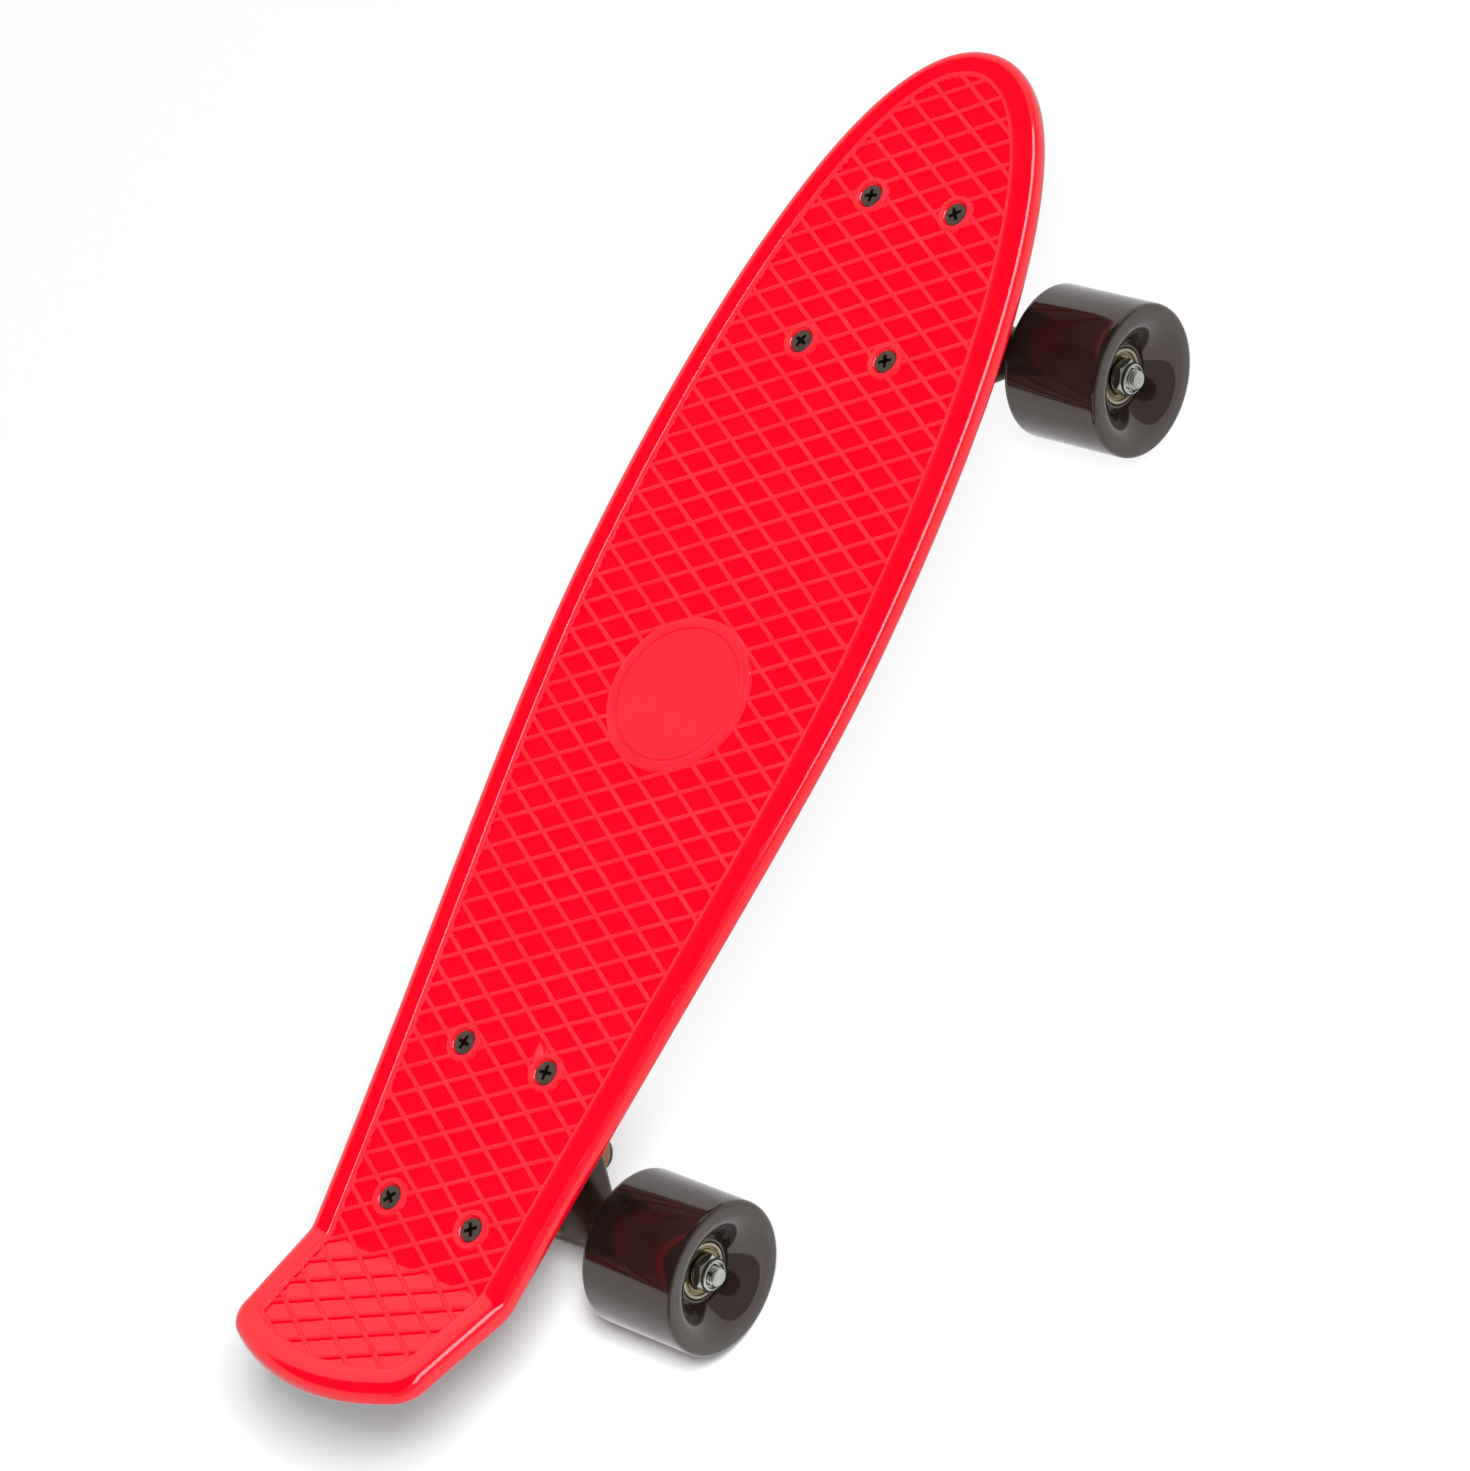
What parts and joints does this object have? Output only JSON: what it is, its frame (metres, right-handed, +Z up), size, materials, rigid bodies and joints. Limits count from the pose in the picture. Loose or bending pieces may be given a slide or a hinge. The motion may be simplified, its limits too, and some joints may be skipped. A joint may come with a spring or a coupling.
{
  "type": "cruiser skateboard",
  "caption": "Moulded plastic cruiser skateboard: waffle-top deck with a kicked tail, sprung steering trucks and four free-rolling wheels.",
  "frame": {"origin": "on the ground, under the middle of the board's overall length and width", "axes": "+X towards the nose, +Y to the left of a rider who faces the nose, +Z up"},
  "size_m": [0.5647, 0.1676, 0.1254],
  "materials": {
    "deck_plastic": "glossy moulded red",
    "black_paint": "satin black on cast aluminium",
    "black_steel": "oiled black oxide",
    "zinc": "bright zinc plate",
    "bearing_steel": "yellowish zinc shield",
    "wheel_urethane": "smoky dark glossy urethane",
    "bushing_urethane": "amber translucent urethane",
    "nylon": "moulded black"
  },
  "bodies": {
    "board": {"deck": "deck_plastic", "deck_bolt_front_left_outer": "black_steel", "deck_nut_front_left_outer": "black_steel", "deck_bolt_front_left_inner": "black_steel", "deck_nut_front_left_inner": "black_steel", "deck_bolt_front_right_outer": "black_steel", "deck_nut_front_right_outer": "black_steel", "deck_bolt_front_right_inner": "black_steel", "deck_nut_front_right_inner": "black_steel", "deck_bolt_rear_left_outer": "black_steel", "deck_nut_rear_left_outer": "black_steel", "deck_bolt_rear_left_inner": "black_steel", "deck_nut_rear_left_inner": "black_steel", "deck_bolt_rear_right_outer": "black_steel", "deck_nut_rear_right_outer": "black_steel", "deck_bolt_rear_right_inner": "black_steel", "deck_nut_rear_right_inner": "black_steel", "front_baseplate": "black_paint", "front_pivot_cup": "nylon", "front_kingpin": "black_steel", "front_board_side_washer": "black_steel", "front_board_side_bushing": "bushing_urethane", "front_road_side_bushing": "bushing_urethane", "front_road_side_washer": "black_steel", "front_kingpin_nut": "black_steel", "rear_baseplate": "black_paint", "rear_pivot_cup": "nylon", "rear_kingpin": "black_steel", "rear_board_side_washer": "black_steel", "rear_board_side_bushing": "bushing_urethane", "rear_road_side_bushing": "bushing_urethane", "rear_road_side_washer": "black_steel", "rear_kingpin_nut": "black_steel"},
    "front_axle_carrier": {"front_hanger": "black_paint", "front_axle": "zinc", "front_left_bearing_spacer": "zinc", "front_left_axle_nut": "zinc", "front_right_bearing_spacer": "zinc", "front_right_axle_nut": "zinc"},
    "front_left_rolling_wheel": {"front_left_wheel": "wheel_urethane", "front_left_outer_bearing": "bearing_steel", "front_left_inner_bearing": "bearing_steel"},
    "front_right_rolling_wheel": {"front_right_wheel": "wheel_urethane", "front_right_outer_bearing": "bearing_steel", "front_right_inner_bearing": "bearing_steel"},
    "rear_axle_carrier": {"rear_hanger": "black_paint", "rear_axle": "zinc", "rear_left_bearing_spacer": "zinc", "rear_left_axle_nut": "zinc", "rear_right_bearing_spacer": "zinc", "rear_right_axle_nut": "zinc"},
    "rear_left_rolling_wheel": {"rear_left_wheel": "wheel_urethane", "rear_left_outer_bearing": "bearing_steel", "rear_left_inner_bearing": "bearing_steel"},
    "rear_right_rolling_wheel": {"rear_right_wheel": "wheel_urethane", "rear_right_outer_bearing": "bearing_steel", "rear_right_inner_bearing": "bearing_steel"}
  },
  "joints": [
    {"name": "front_steering", "type": "hinge", "parent": "board", "child": "front_axle_carrier", "pos_m": [0.2122, 0, 0.0733], "axis": [0.831, 0, 0.5563], "range_deg": [-15, 15], "stiffness_Nm_per_rad": 30, "deforming": ["front_board_side_bushing", "front_road_side_bushing"]},
    {"name": "rear_steering", "type": "hinge", "parent": "board", "child": "rear_axle_carrier", "pos_m": [-0.2026, 0, 0.0733], "axis": [0.831, 0, -0.5563], "range_deg": [-15, 15], "stiffness_Nm_per_rad": 30, "deforming": ["rear_board_side_bushing", "rear_road_side_bushing"]},
    {"name": "front_left_wheel_spin", "type": "hinge", "parent": "front_axle_carrier", "child": "front_left_rolling_wheel", "pos_m": [0.1906, 0.0618, 0.0298], "axis": [0, 1, 0], "continuous": true},
    {"name": "front_right_wheel_spin", "type": "hinge", "parent": "front_axle_carrier", "child": "front_right_rolling_wheel", "pos_m": [0.1906, -0.0618, 0.0298], "axis": [0, 1, 0], "continuous": true},
    {"name": "rear_left_wheel_spin", "type": "hinge", "parent": "rear_axle_carrier", "child": "rear_left_rolling_wheel", "pos_m": [-0.181, 0.0618, 0.0298], "axis": [0, 1, 0], "continuous": true},
    {"name": "rear_right_wheel_spin", "type": "hinge", "parent": "rear_axle_carrier", "child": "rear_right_rolling_wheel", "pos_m": [-0.181, -0.0618, 0.0298], "axis": [0, 1, 0], "continuous": true}
  ]
}
